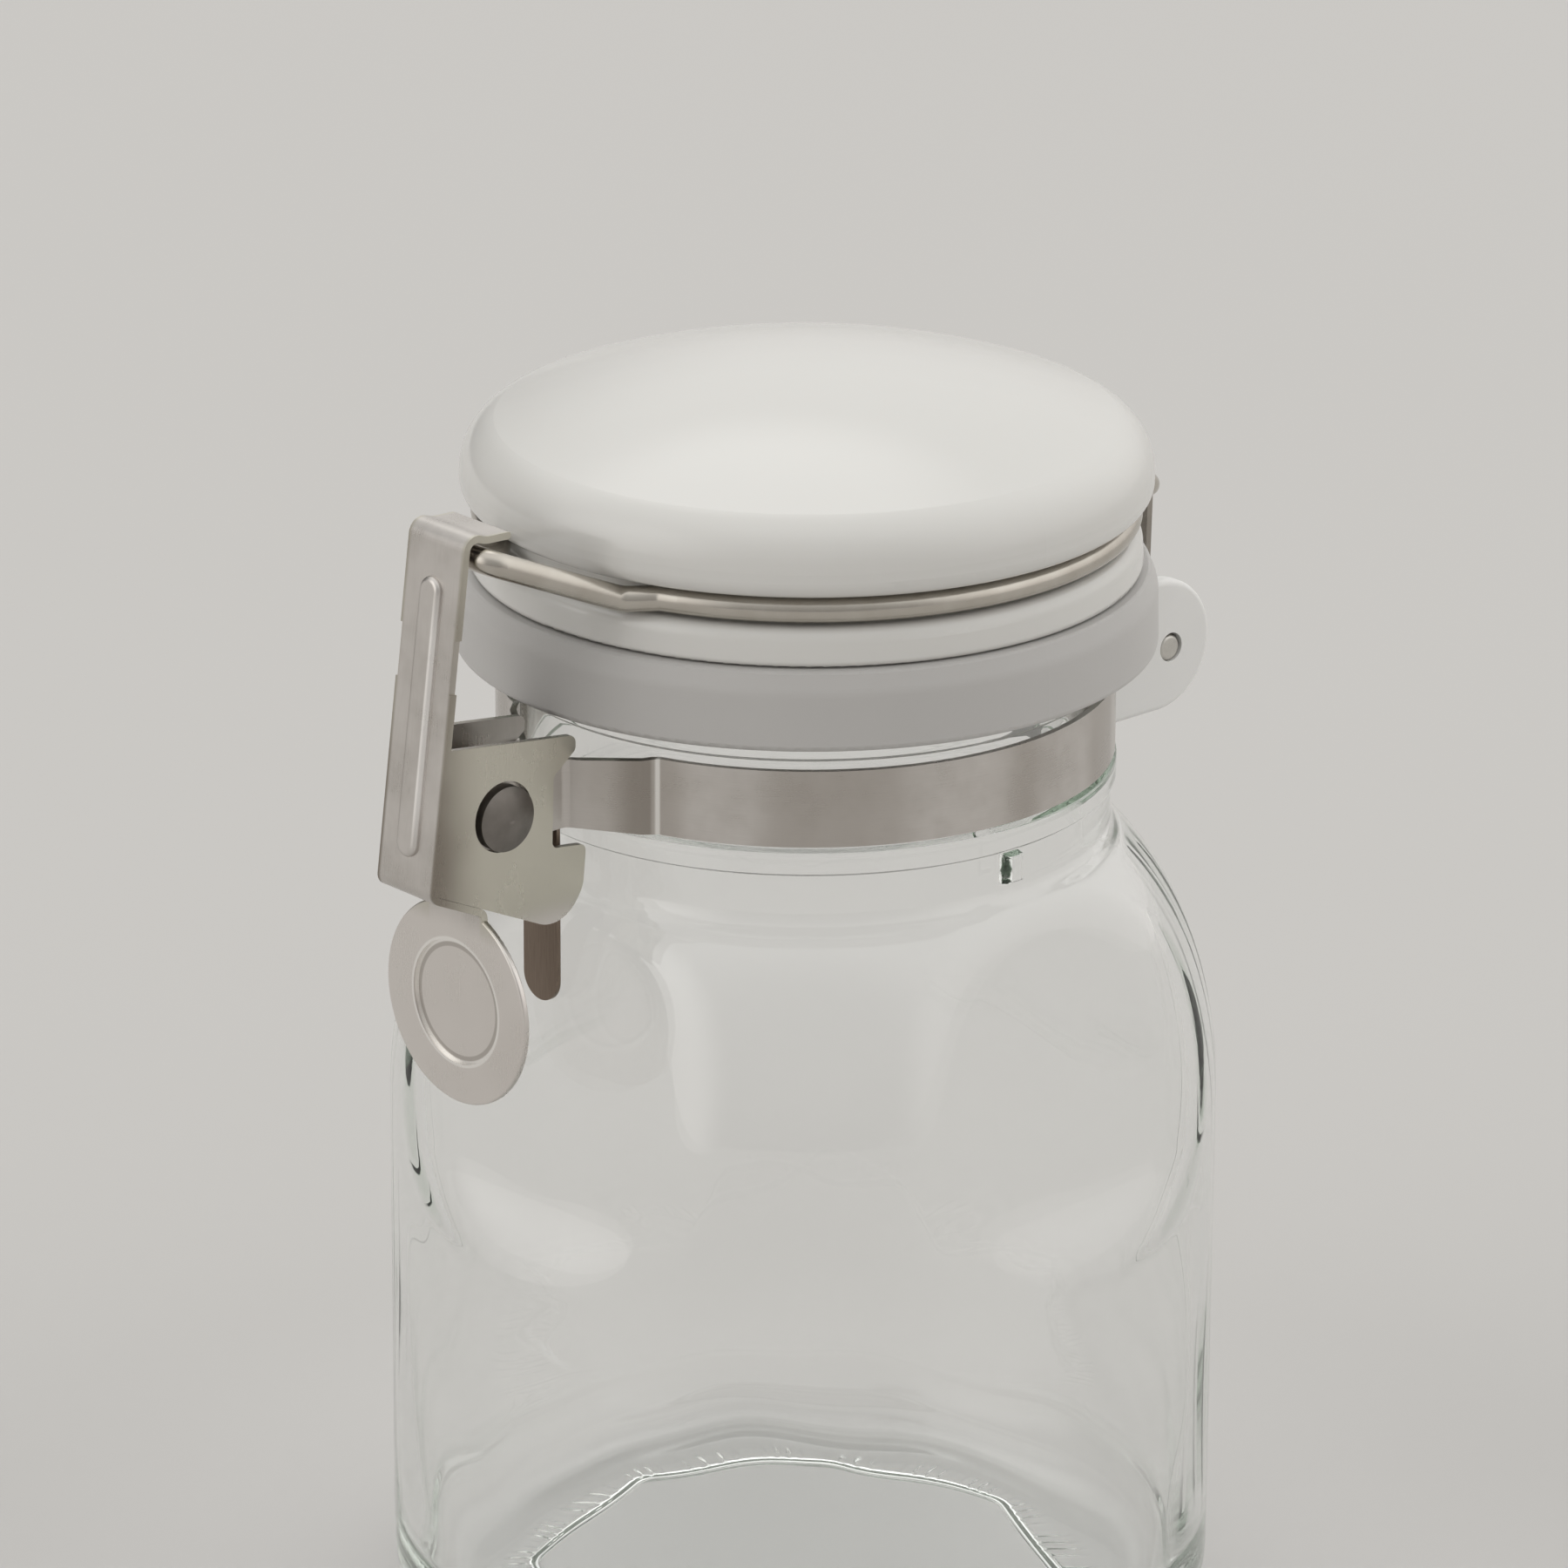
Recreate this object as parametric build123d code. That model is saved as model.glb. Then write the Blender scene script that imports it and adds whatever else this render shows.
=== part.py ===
from build123d import *
import os
from math import acos, asin, cos, degrees, radians, sin, tan

# Lidded glass canister: a pressed glass jar with a one-push clasp lid.
# Sizes are in millimetres and angles in degrees. The origin is the middle of the jar's base, +Z is up,
# the clasp stands at -Y and the hinge at +Y. Each function below makes one piece.

# Glass jar
jar_radius = 54.7
glass_wall = 3.2
glass_floor = 6.5
heel_radius = 11.0
base_recess_depth = 1.8
base_recess_radius = 37.0
base_turn = -4.0          # the octagonal recess stands a little off the hinge line
shoulder_start = 75.0     # height where the straight body ends
shoulder_depth = 24.9     # how far the shoulder's ellipse reaches inwards
shoulder_rise = 42.0
neck_foot_radius = 40.0
neck_bend = 6.0           # the hollow curve between shoulder and neck
bead_radius = 40.7
bead_bottom = 120.2
bead_top = 123.8
neck_radius = 39.6        # the groove that holds the band
ridge_radius = 40.8
ridge_bottom = 135.6
ridge_top = 138.0
rim_radius = 42.2
rim_bottom = 140.0
rim_top = 147.0
mouth_radius = 36.4

# The four sloping flats pressed into the shoulder give the finger disc room to swing in
flat_top = (41.0, 117.0)      # distance from the jar's axis, height
flat_foot = (51.4, 69.0)
flat_run_out = (58.0, 61.5)
flat_half_width = 36.0
jar_turn = 4.0                # the flats stand a little off the clasp

# Neck band, clamped round the neck, with two ears for the clasp rivet
sheet = 0.95
band_thickness = 0.85
band_bottom = 124.2
band_height = 10.2
band_clearance = 0.05
ear_height = 9.2
ear_gap = 3.575               # half the space between the ears
ear_end = 60.6

# Clasp: a press lever that turns on the rivet and hooks over the wire's nose
rivet_y = -55.9
rivet_z = 128.3
rivet_shank_radius = 2.0
rivet_head_radius = 4.3
lever_hole_radius = 4.7
lever_half_width = 5.4
lever_foot = (-68.0, 120.4)   # y and z of the front plate's lower corner
lever_lean = 7.36             # the front plate leans towards the jar at its top
lever_length = 46.9
disc_radius = 13.6
disc_z = 102.8
disc_y = -59.36
disc_dish_radius = 8.3
disc_dish_depth = 0.5

# Lid
lid_radius = 45.0
lid_top = 176.0
lid_widest = 162.0
lid_edge = 158.6
lid_wall = 2.4
dome_edge_radius = 7.0
groove_bottom = 154.3
base_radius = 37.4            # the plate that closes the dome from below
ledge_radius = 36.0           # the ledge inside the dome that the plate meets
seam = 149.3                  # underside of the lid's flange, where the gasket starts
flange_radius = 43.8
groove_radius = 40.2
gasket_bottom = 138.8
gasket_radius = 45.9
gasket_inner = 44.2
plug_radius = 34.2

# Wire ring: it lies in the lid's groove, with a nose in front and a tail behind
wire_radius = 1.65
ring_radius = 41.9
ring_z = 156.5
nose = (6.6, -59.2, 163.3)
tail = (7.6, 54.9, 149.2)

# Hinge: a plastic block clipped on the band, a pin, and a strap that hooks over the wire
pin_radius = 1.8
pin_y = 59.4
pin_z = 125.2
running_gap = 0.05
strap_sheet = 0.9
strap_half_width = 5.0
block_half_width = 7.5
block_slot = 5.35
block_round = 9.2
block_round_centre = (57.5, 125.9)
opening_angle = 100.0         # the strap lands on the floor of the block's slot here


def profile(points, radii=0.0):
    """A closed outline with rounded corners, drawn in a vertical plane."""
    return make_face(FilletPolyline(*points, radius=radii, close=True))


def turned(outline):
    """The solid that an outline of (radius, height) makes when it turns about the jar's axis."""
    return revolve(Plane.XZ * outline, Axis.Z)


def across(outline, half_width):
    """An outline of (y, z) carried the same distance to both sides of the middle plane."""
    return extrude(Plane.YZ * outline, amount=half_width, both=True)


def strip(line, thickness):
    """The rounded-edge section of sheet metal that follows a line."""
    return make_face(offset(line, amount=thickness / 2, kind=Kind.ARC))


def both_sides(half):
    """A piece and its mirror image across the middle plane, as one solid."""
    return half + mirror(half, about=Plane.YZ)


def shoulder_arc(inset):
    """The elliptical shoulder up to the neck's bend, pushed inwards by the wall for the inside face."""
    centre = jar_radius - shoulder_depth
    reach = shoulder_depth - inset
    rise = shoulder_rise - inset * 0.9
    end_radius = mouth_radius + 2.6 if inset else neck_foot_radius + 2.4
    end_angle = degrees(acos((end_radius - centre) / reach))
    return EllipticalCenterArc((centre, shoulder_start), reach, rise, start_angle=0, arc_size=end_angle)


def neck_corner(arc, radius):
    """The point where the shoulder, carried straight on, would meet the upright neck."""
    end = arc @ 1
    slope = arc % 1
    return (radius, end.Y + (radius - end.X) * slope.Y / slope.X)


def flat_cutter(inset, turn):
    """The wedge outside one shoulder flat, moved inwards by the wall for the inside face."""
    points = [flat_top, flat_foot, flat_run_out, (flat_run_out[0], flat_top[1])]
    wedge = profile([(y - inset, z) for y, z in points], radii=[0, 14.0, 0, 0])
    return Rot(Z=turn) * across(wedge, flat_half_width)


def glass_jar():
    arc = shoulder_arc(0)
    body = FilletPolyline((0, 0), (jar_radius, 0), (jar_radius, shoulder_start), radius=heel_radius)
    neck = FilletPolyline(
        arc @ 1,
        neck_corner(arc, neck_foot_radius),
        (neck_foot_radius, bead_bottom),
        (bead_radius, bead_bottom + 0.4),
        (bead_radius, bead_top - 0.4),
        (neck_radius, bead_top),
        (neck_radius, ridge_bottom),
        (ridge_radius, ridge_bottom + 0.5),
        (ridge_radius, ridge_top - 0.5),
        (neck_radius, ridge_top),
        (neck_radius, rim_bottom - 0.6),
        (rim_radius, rim_bottom),
        (rim_radius, rim_top),
        (mouth_radius, rim_top),
        (0, rim_top),
        (0, 0),
        radius=[neck_bend, 0.2, 0.3, 0.3, 0.2, 0.4, 0.3, 0.3, 0.2, 0.4, 0.5, 1.6, 0, 0],
    )
    outside = turned(make_face(body + arc + neck))
    inner_arc = shoulder_arc(glass_wall)
    inner_radius = jar_radius - glass_wall
    floor = FilletPolyline((0, glass_floor), (inner_radius, glass_floor), (inner_radius, shoulder_start),
                           radius=heel_radius - 2.0)
    mouth = FilletPolyline(
        inner_arc @ 1,
        neck_corner(inner_arc, mouth_radius),
        (mouth_radius, rim_top + 1),
        (0, rim_top + 1),
        (0, glass_floor),
        radius=[neck_bend - 1.0, 0, 0])
    inside = turned(make_face(floor + inner_arc + mouth))
    for quarter in range(4):
        outside -= flat_cutter(0, jar_turn + 90 * quarter)
        inside -= flat_cutter(glass_wall, jar_turn + 90 * quarter)
    corners = [radians(base_turn + 45 * step) for step in range(8)]
    octagon = profile(
        [(base_recess_radius * cos(a), base_recess_radius * sin(a)) for a in corners], radii=9.0)
    recess = extrude(octagon, amount=base_recess_depth)
    lug_height = 4.5
    lug = Pos(neck_foot_radius + 0.5, 0, bead_bottom + 0.2 - lug_height / 2) * Box(2.4, 2.6, lug_height)
    return outside + Rot(Z=-1.5) * lug - inside - recess


def neck_band():
    middle_radius = neck_radius + band_clearance + band_thickness / 2
    leave = radians(20.5)
    ear_x = ear_gap + band_thickness / 2
    start = (middle_radius * sin(leave), -middle_radius * cos(leave))
    ear = FilletPolyline((ear_x, -ear_end), (ear_x, -44.8), (12.6, -39.3), start, radius=[1.6, 0.8])
    round_neck = CenterArc((0, 0), middle_radius, -90 + degrees(leave), 180 - degrees(leave))
    half = extrude(strip(ear + round_neck, band_thickness), amount=band_height)
    slope_start, slope_end = -38.0, -44.0     # the strip narrows on its way from the neck to the ear
    ear_top = profile([
        (slope_start, band_height), (slope_end, ear_height), (-ear_end - 5, ear_height),
        (-ear_end - 5, band_height + 5), (slope_start, band_height + 5)], radii=[0, 3.0, 0, 0, 0])
    half -= across(ear_top, 20)
    half = Pos(0, 0, band_bottom) * half
    hole = Pos(0, rivet_y, rivet_z) * Rot(Y=90) * Cylinder(rivet_shank_radius + 0.02, 20)
    return both_sides(half - Pos(-50, 0, rivet_z) * Box(100, 200, 40)) - hole


def clasp_rivet():
    """A shouldered rivet: the lever's holes run on its two wide heads."""
    head = ear_gap + band_thickness + running_gap
    rim = head + 1.5
    dome = 0.9
    ball_radius = (rivet_head_radius**2 + dome**2) / (2 * dome)
    rim_angle = degrees(asin(rivet_head_radius / ball_radius))
    outline = make_face(
        Polyline((0, 0), (0, rivet_shank_radius), (head, rivet_shank_radius), (head, rivet_head_radius),
                 (rim, rivet_head_radius))
        + CenterArc((rim + dome - ball_radius, 0), ball_radius, 0, rim_angle)
        + Line((rim + dome, 0), (0, 0))
    )
    half = revolve(outline, Axis.X)
    return Pos(0, rivet_y, rivet_z) * both_sides(half)


def rivet_bush():
    """The sleeve that keeps the ears apart and carries the spring."""
    sleeve = Cylinder(3.5, 2 * ear_gap - 0.1) - Cylinder(rivet_shank_radius + 0.05, 20)
    return Pos(0, rivet_y, rivet_z) * Rot(Y=90) * sleeve


def leaf_spring():
    """A leaf that hooks over the bush: one leg stands at the glass, the other behind the front plate."""
    over_bush = 3.5 + 0.1 + 0.3
    glass_leg = -45.3
    tip_z = 102.8
    front = rivet_y - over_bush
    top = rivet_z + over_bush
    line = FilletPolyline(
        (glass_leg, tip_z), (glass_leg, top), (front, top), (front, rivet_z - 1.0), (-64.4, rivet_z - 2.6),
        radius=[6.0, over_bush, 1.2])
    leaf = across(strip(line, 0.6), 3.3)
    tip = Pos(0, glass_leg, tip_z) * Rot(X=90) * Cylinder(3.3, 0.6)
    return leaf + tip


def latch_lever():
    """One stamping: hook lip, front plate with a rib, two side flanges, foot tab and finger disc."""
    frame = Pos(0, lever_foot[0], lever_foot[1]) * Rot(X=-lever_lean)
    half = sheet / 2
    foot_slope = tan(radians(17.4))
    tab_end = 9.1
    neck_drop = 5.0
    lip_tip = (7.0, 46.57)        # far enough from the rivet to swing out over the wire's nose
    down = (sin(radians(lever_lean)), -cos(radians(lever_lean)))
    tab_corner = (tab_end, -0.15 - foot_slope * tab_end)
    plate_line = FilletPolyline(
        lip_tip,
        (lip_tip[0] / 2, lip_tip[1] - 0.3),
        (half, lever_length),
        (half, -0.15 - foot_slope * half),
        tab_corner,
        (tab_corner[0] + neck_drop * down[0], tab_corner[1] + neck_drop * down[1]),
        radius=[4.0, 1.6, 1.2, 1.2])
    plate = across(strip(plate_line, sheet), lever_half_width)
    for side in (-1, 1):
        plate -= Pos(side * lever_half_width, 0, 30.0) * Box(0.7, 3.0, 7.0)
    rib = extrude(Plane.XZ * Pos(0, 22.4) * Rot(Z=90) * SlotOverall(36.5, 3.8), amount=0.75)
    rib = fillet(rib.faces().sort_by(Axis.Y)[0].edges(), 0.7)
    flange = profile(
        [(0.3, 0.3), (22.6, 0.35 - foot_slope * 22.6), (25.4, -1.2), (25.2, 4.45), (19.5, 4.45),
         (18.5, 14.0), (21.8, 17.3), (21.6, 19.2), (0.3, 19.2)],
        radii=[0, 5.0, 4.0, 1.0, 0.9, 1.2, 0.8, 1.1, 0])
    hole_centre = (10.75, 9.6)
    flange -= Pos(*hole_centre) * Circle(lever_hole_radius)
    inner_face = lever_half_width - 0.9
    flange = Pos(inner_face, 0, 0) * extrude(Plane.YZ * flange, amount=0.9)
    disc = Pos(0, disc_y, disc_z) * Rot(X=90) * Cylinder(disc_radius, sheet)
    disc = fillet(disc.edges(), 0.3)
    dish = Pos(0, disc_y - half, disc_z) * Rot(X=90) * Cylinder(disc_dish_radius, 2 * disc_dish_depth)
    return frame * (plate + rib + flange + mirror(flange, about=Plane.YZ)) + disc - dish


def dome_line(inset):
    """The dome's outline from its widest point to its top: a tight edge arc, then a flat crown arc."""
    edge_radius = dome_edge_radius - inset
    edge_centre = (lid_radius - dome_edge_radius, lid_widest)
    rise = lid_top - lid_widest
    crown_radius = (edge_centre[0]**2 + rise**2 - dome_edge_radius**2) / (2 * (rise - dome_edge_radius))
    meet = degrees(acos(edge_centre[0] / (crown_radius - dome_edge_radius)))
    crown_centre = (0, lid_top - crown_radius)
    edge = CenterArc(edge_centre, edge_radius, 0, meet)
    crown = CenterArc(crown_centre, crown_radius - inset, meet, 90 - meet)
    return edge + crown


def lid_cover():
    """The hollow white moulding: dome, wire groove and flange."""
    inner_start = (lid_radius - lid_wall, lid_widest)
    side = FilletPolyline(
        (lid_radius, lid_widest),
        (lid_radius, lid_edge),
        (groove_radius, lid_edge - 0.4),
        (groove_radius, groove_bottom),
        (flange_radius - 0.3, groove_bottom),
        (flange_radius, seam),
        (base_radius + 0.1, seam),
        (base_radius + 0.1, seam + 1.8),
        (ledge_radius, seam + 1.8),
        (ledge_radius, lid_edge + 0.6),
        (inner_start[0], lid_edge + 1.6),
        inner_start,
        radius=[2.4, 0.6, 0.6, 2.0, 0.8, 0, 0, 0, 2.0, 0.4])
    crown = Line((0, lid_top - lid_wall), (0, lid_top))
    return turned(make_face(side + dome_line(lid_wall) + crown + dome_line(0)))


def lid_base():
    """The inner plate that closes the dome from below, with a shallow plug in the mouth."""
    plug_bottom = rim_top - 1.8
    return turned(profile(
        [(0, plug_bottom), (plug_radius, plug_bottom), (plug_radius, seam + 0.05),
         (base_radius, seam + 0.05), (base_radius, seam + 1.75), (plug_radius - 1.8, seam + 1.75),
         (plug_radius - 1.8, plug_bottom + 1.8), (0, plug_bottom + 1.8)],
        radii=[0, 1.2, 0.3, 0.3, 0.3, 0.3, 0.6, 0]))


def gasket():
    """The soft sealing ring: a web on the glass rim and a skirt hanging outside it."""
    web_bottom = rim_top + 0.3
    return turned(profile(
        [(plug_radius + 0.6, web_bottom), (gasket_inner, web_bottom), (gasket_inner, gasket_bottom),
         (gasket_radius, gasket_bottom), (gasket_radius - 0.2, 146.6), (44.7, seam - 0.15),
         (plug_radius + 0.6, seam - 0.15)],
        radii=[0.6, 0.8, 0.4, 0.8, 3.0, 0.5, 0.6]))


def wire_end(corner, side):
    """The bends that lead the wire from the circle out to its nose (side -1) or tail (side 1)."""
    leave = radians(26)
    on_circle = Vector(ring_radius * sin(leave), side * ring_radius * cos(leave), ring_z)
    along = Vector(-cos(leave), side * sin(leave), 0) * 3.0
    kink = (12.2, side * 42.2, ring_z - 0.3)
    middle = (0, corner[1], corner[2])
    return FilletPolyline(on_circle, on_circle + along, kink, corner, middle, radius=[3.0, 3.0, 2.4])


def wire_ring():
    arc = CenterArc((0, 0, ring_z), ring_radius, -64, 128)
    path = Wire([*wire_end(nose, -1).edges(), *arc.edges(), *wire_end(tail, 1).edges()])
    section = Plane(origin=(0, nose[1], nose[2]), z_dir=(1, 0, 0)) * Circle(wire_radius)
    return both_sides(sweep(section, path=path))


def hinge_strap():
    """A strip rolled outwards round the pin at its foot and inwards over the wire at its head."""
    foot_radius = pin_radius + running_gap + strap_sheet / 2
    web_y = pin_y - foot_radius
    lean_start = pin_z + 9.0      # above the block the strip leans out a little
    head_radius = 3.1
    head = (54.4, tail[2])
    lip_gap = wire_radius + 0.1 + strap_sheet / 2
    foot_roll = CenterArc((pin_y, pin_z), foot_radius, 180, 262)
    web = FilletPolyline(
        (web_y, pin_z), (web_y, lean_start), (head[0] + head_radius, head[1]), radius=30.0)
    head_roll = CenterArc(head, head_radius, 0, 180)
    lip = FilletPolyline(
        (head[0] - head_radius, head[1]),
        (head[0] - head_radius, head[1] - lip_gap),
        (tail[1], head[1] - lip_gap),
        radius=1.6)
    return across(strip(foot_roll + web + head_roll + lip, strap_sheet), strap_half_width)


def hinge_block():
    """Two ears with a slot between them. The block bears on the band and hooks over the band's top edge."""
    low = block_round_centre[1] - block_round
    high = block_round_centre[1] + block_round
    outline = make_face(
        Polyline((block_round_centre[0], high), (38.0, high), (38.0, low), (block_round_centre[0], low))
        + CenterArc(block_round_centre, block_round, -90, 180)
    )
    block = across(outline, block_half_width)
    block = fillet(block.edges().filter_by(lambda e: e.center().Y > 50).group_by(Axis.X)[0], 0.8)
    block = fillet(block.edges().filter_by(lambda e: e.center().Y > 50).group_by(Axis.X)[-1], 0.8)
    hook_radius = neck_radius + 0.25
    band_radius = neck_radius + band_clearance + band_thickness + 0.05
    inside = turned(make_face(Polyline(
        (0, low - 1), (bead_radius + 0.3, low - 1), (bead_radius + 0.3, band_bottom - 0.1),
        (band_radius, band_bottom - 0.1), (band_radius, band_bottom + band_height + 0.1),
        (hook_radius, band_bottom + band_height + 0.1), (hook_radius, high + 1), (0, high + 1),
        (0, low - 1))))
    return block - inside - strap_slot() - pin_hole()


def pin_hole():
    return Pos(0, pin_y, pin_z + 0.18) * Rot(Y=90) * Cylinder(pin_radius + 0.22, 20)


def strap_slot():
    """Room for the strap's roll and its swing from upright to the opening angle."""
    roll = pin_radius + running_gap + strap_sheet
    gap = roll + 0.4
    turn = radians(opening_angle)
    face = pin_radius + running_gap
    reach = 14.0
    landing = (-face * cos(turn), face * sin(turn))
    far = (landing[0] + reach * sin(turn), landing[1] + reach * cos(turn))
    room = make_face(Polyline(
        (-gap, reach), (-gap, 0), (0, 0), landing, far, (far[0], reach), (-gap, reach)))
    slot = across(room + Circle(gap), block_slot)
    return Pos(0, pin_y, pin_z - running_gap) * slot


def hinge_pin():
    length = 2 * block_half_width - 0.3
    pin = Cylinder(pin_radius, length)
    pin = fillet(pin.edges(), 0.5)
    return Pos(0, pin_y, pin_z) * Rot(Y=90) * pin


os.makedirs("parts", exist_ok=True)
for piece in (glass_jar, neck_band, clasp_rivet, rivet_bush, leaf_spring, latch_lever, lid_cover, lid_base,
              gasket, wire_ring, hinge_strap, hinge_block, hinge_pin):
    export_step(piece(), f"parts/{piece.__name__}.step")
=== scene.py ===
from math import acos, ceil, cos, degrees, pi, radians, sin, tan

import bmesh
import bpy
import numpy as np
from mathutils import Matrix, Vector


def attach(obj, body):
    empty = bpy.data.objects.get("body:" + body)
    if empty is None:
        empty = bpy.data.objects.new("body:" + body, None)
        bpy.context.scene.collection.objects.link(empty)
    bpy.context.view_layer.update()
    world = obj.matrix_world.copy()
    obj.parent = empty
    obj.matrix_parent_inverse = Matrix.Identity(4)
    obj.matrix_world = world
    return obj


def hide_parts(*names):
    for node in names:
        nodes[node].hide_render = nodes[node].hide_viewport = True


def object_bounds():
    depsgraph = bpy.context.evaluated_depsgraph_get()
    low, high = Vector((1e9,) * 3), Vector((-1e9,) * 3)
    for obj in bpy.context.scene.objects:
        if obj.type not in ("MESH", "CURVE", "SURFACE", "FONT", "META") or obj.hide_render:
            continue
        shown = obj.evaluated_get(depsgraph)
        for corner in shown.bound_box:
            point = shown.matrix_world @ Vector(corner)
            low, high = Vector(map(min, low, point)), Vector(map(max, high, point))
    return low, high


# The lidded glass canister's looks. The CAD nodes are the frame. Named sizes are in millimetres, and MM
# turns them into metres. The jar's axis is Z, the clasp stands at -Y and the hinge at +Y.

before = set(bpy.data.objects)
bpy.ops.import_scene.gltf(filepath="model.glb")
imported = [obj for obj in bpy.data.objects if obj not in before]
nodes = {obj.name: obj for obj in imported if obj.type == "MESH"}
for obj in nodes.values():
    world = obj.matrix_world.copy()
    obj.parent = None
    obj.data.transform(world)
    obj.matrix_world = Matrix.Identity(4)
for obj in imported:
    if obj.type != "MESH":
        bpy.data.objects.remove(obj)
cad_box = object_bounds()
MM = 0.001
scene = bpy.context.scene


# ---------------------------------------------------------------- camera

CAMERA_AZIMUTH = 48.0
CAMERA_DISTANCE = 1072.2       # level distance from the jar's axis
CAMERA_HEIGHT = 509.5
CAMERA_ASIDE = -2.76           # how far the camera stands to the right of that line
CAMERA_PITCH = 20.06
CAMERA_ROLL = 0.29
SENSOR_WIDTH = 36.0
LENS = 200.0


def make_camera():
    azimuth = radians(CAMERA_AZIMUTH)
    pitch = radians(CAMERA_PITCH)
    outward = Vector((sin(azimuth), -cos(azimuth), 0))
    right = Vector((cos(azimuth), sin(azimuth), 0))
    forward = -outward * cos(pitch) - Vector((0, 0, sin(pitch)))
    up = right.cross(forward)
    turn = Matrix.Rotation(radians(CAMERA_ROLL), 3, forward)
    axes = Matrix((turn.inverted() @ right, turn.inverted() @ up, -forward)).transposed()
    data = bpy.data.cameras.new("camera")
    data.sensor_width = SENSOR_WIDTH
    data.lens = LENS
    data.clip_start = 0.01
    data.clip_end = 50.0
    camera = bpy.data.objects.new("camera", data)
    place = outward * CAMERA_DISTANCE + right * CAMERA_ASIDE + Vector((0, 0, CAMERA_HEIGHT))
    camera.matrix_world = Matrix.Translation(place * MM) @ axes.to_4x4()
    scene.collection.objects.link(camera)
    scene.camera = camera


make_camera()


# ---------------------------------------------------------------- material helpers

class Surface:
    """A node material with a Principled shader, and short ways to add texture nodes to it."""

    def __init__(self, name, **constants):
        self.material = bpy.data.materials.new(name)
        self.material.use_nodes = True
        self.tree = self.material.node_tree
        self.shader = self.tree.nodes["Principled BSDF"]
        self.output = self.tree.nodes["Material Output"]
        for socket, value in constants.items():
            self.shader.inputs[socket.replace("_", " ")].default_value = value
        self.place = self.node("ShaderNodeTexCoord").outputs["Object"]
        self.colour = None

    def node(self, kind, **settings):
        made = self.tree.nodes.new(kind)
        for key, value in settings.items():
            setattr(made, key, value)
        return made

    def link(self, source, target):
        self.tree.links.new(source, target)

    def coordinate(self, axis):
        """The object's X, Y or Z, in metres."""
        parts = self.node("ShaderNodeSeparateXYZ")
        self.link(self.place, parts.inputs["Vector"])
        return parts.outputs[axis]

    def distance(self, centre):
        """How far a place is from a centre given in millimetres."""
        made = self.node("ShaderNodeVectorMath", operation="DISTANCE")
        made.inputs[1].default_value = Vector(centre) * MM
        self.link(self.place, made.inputs[0])
        return made.outputs["Value"]

    def stretch(self, scale):
        """The object's coordinates, scaled by a different amount along each axis."""
        mapping = self.node("ShaderNodeMapping")
        mapping.inputs["Scale"].default_value = scale
        self.link(self.place, mapping.inputs["Vector"])
        return mapping.outputs["Vector"]

    def around(self, scale_round, scale_up):
        """Coordinates that run round the jar's axis and up it."""
        angle = self.math("ARCTAN2", self.coordinate("Y"), self.coordinate("X"))
        joined = self.node("ShaderNodeCombineXYZ")
        self.link(self.math("MULTIPLY", angle, scale_round), joined.inputs["X"])
        self.link(self.math("MULTIPLY", self.coordinate("Z"), scale_up), joined.inputs["Y"])
        return joined.outputs["Vector"]

    def math(self, operation, first, second=0.0):
        made = self.node("ShaderNodeMath", operation=operation)
        for slot, value in zip(made.inputs, (first, second)):
            if isinstance(value, (int, float)):
                slot.default_value = value
            else:
                self.link(value, slot)
        return made.outputs["Value"]

    def noise(self, scale, detail=3.0, rough=0.55, where=None):
        made = self.node("ShaderNodeTexNoise")
        made.inputs["Scale"].default_value = scale
        made.inputs["Detail"].default_value = detail
        made.inputs["Roughness"].default_value = rough
        self.link(where or self.place, made.inputs["Vector"])
        return made.outputs["Fac"]

    def scaled(self, source, low, high):
        """A source of 0 to 1 made to run from low to high."""
        made = self.node("ShaderNodeMapRange")
        made.inputs["To Min"].default_value = low
        made.inputs["To Max"].default_value = high
        self.link(source, made.inputs["Value"])
        return made.outputs["Result"]

    def window(self, source, start, end):
        """0 where the source is before the start, 1 where it is past the end, and a soft step between."""
        made = self.node("ShaderNodeMapRange", interpolation_type="SMOOTHSTEP")
        made.inputs["From Min"].default_value = start
        made.inputs["From Max"].default_value = end
        self.link(source, made.inputs["Value"])
        return made.outputs["Result"]

    def between(self, source, rise, fall):
        """1 between a soft rise and a soft fall, each given as where it starts and ends."""
        return self.math("MULTIPLY", self.window(source, *rise), self.window(source, *reversed(fall)))

    def line(self, source, centre, half_width):
        """1 where the source is near the centre, 0 from the half width on. Both are in millimetres."""
        from_centre = self.math("ABSOLUTE", self.math("SUBTRACT", source, centre * MM))
        return self.window(from_centre, half_width * MM, half_width * MM / 2)

    def tint(self, source, dark, light):
        """The base colour, from one colour or earlier tint to another as the source grows."""
        made = self.node("ShaderNodeMix", data_type="RGBA")
        self.link(source, made.inputs["Factor"])
        for name, colour in (("A", dark), ("B", light)):
            if isinstance(colour, tuple):
                made.inputs[name].default_value = (*colour, 1)
            else:
                self.link(colour, made.inputs[name])
        self.colour = made.outputs["Result"]
        self.link(self.colour, self.shader.inputs["Base Color"])
        return self.colour

    def stain(self, mask, strength, below, colour):
        """An earlier tint with some of a colour laid over it inside the mask."""
        return self.tint(self.math("MULTIPLY", mask, strength), below, colour)

    def rough(self, source, low, high):
        self.link(self.scaled(source, low, high), self.shader.inputs["Roughness"])

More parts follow.
